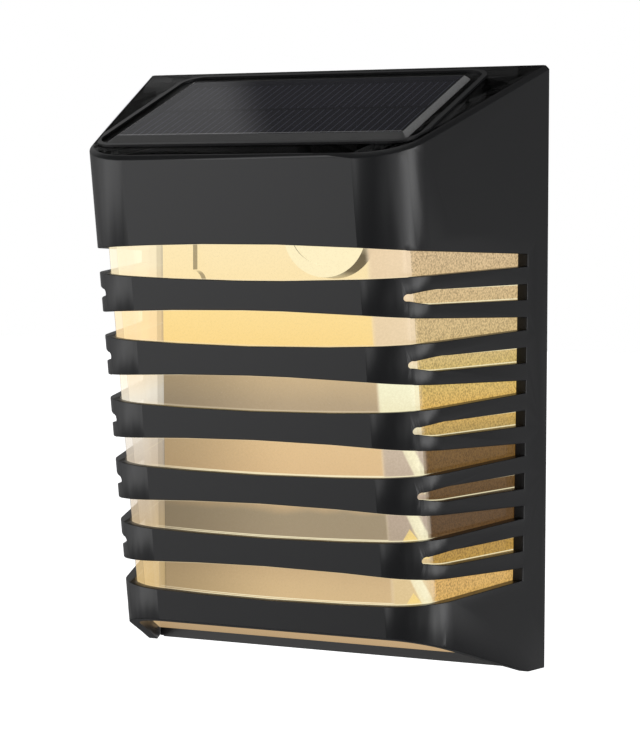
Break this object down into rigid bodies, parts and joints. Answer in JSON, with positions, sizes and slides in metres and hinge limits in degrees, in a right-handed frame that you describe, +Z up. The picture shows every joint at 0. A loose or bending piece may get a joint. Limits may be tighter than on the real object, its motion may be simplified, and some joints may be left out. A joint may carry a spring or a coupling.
{
  "type": "solar fence light",
  "caption": "Wall-hung solar light with a slanted panel roof and a moulded grille of lens-shaped gaps and forked ribs over a clear lit cover.",
  "frame": {"origin": "centre of the flat wall face", "axes": "+Z up, +Y out of the back into the wall, -Y out of the front, +X to the right as seen from the wall's front side"},
  "size_m": [0.096, 0.0557, 0.13],
  "materials": {
    "housing_black": "fine matt moulding",
    "frame_grey": "satin",
    "adhesive": "foam tape",
    "backing": "glass fibre board",
    "cell_silicon": "dark cell with fine lines",
    "panel_glass": "clear",
    "cover_clear": "clear, slightly diffusing",
    "seal_rubber": "matt",
    "button_rubber": "matt",
    "liner_pale": "pale satin",
    "tray_white": "matt",
    "screw_steel": "zinc plated",
    "board_white": "white solder mask",
    "lamp": "warm light",
    "board_green": "green solder mask",
    "chip_black": "matt",
    "cell_wrap": "shrink sleeve",
    "nickel": "nickel plated",
    "foam": "open foam",
    "wire_cover": "smooth cover"
  },
  "bodies": {
    "housing": {"front_shell": "housing_black", "top_cover": "housing_black", "panel_bezel": "frame_grey", "panel_adhesive": "adhesive", "panel_backing": "backing", "solar_cells": "cell_silicon", "panel_glass": "panel_glass", "light_cover": "cover_clear", "back_plate": "housing_black", "plate_gasket": "seal_rubber", "reflector_liner": "liner_pale", "case_screws": "screw_steel", "liner_screws": "screw_steel", "component_tray": "tray_white", "led_board": "board_white", "leds": "lamp", "led_board_screws": "screw_steel", "control_board": "board_green", "control_chips": "chip_black", "control_board_screws": "screw_steel", "switch_body": "chip_black", "button_seal": "seal_rubber", "battery_cell": "cell_wrap", "battery_contacts": "nickel", "battery_spring": "nickel", "battery_pad": "foam", "panel_leads": "wire_cover", "led_leads": "wire_cover", "battery_leads": "wire_cover"},
    "button": {"mode_button": "button_rubber", "switch_plunger": "chip_black"}
  },
  "joints": [
    {"name": "mode_button_press", "type": "slide", "parent": "housing", "child": "button", "axis": [0, -1, 0], "range_m": [0, 0.0005], "stiffness_N_per_m": 2000, "springref_m": -0.0005}
  ]
}
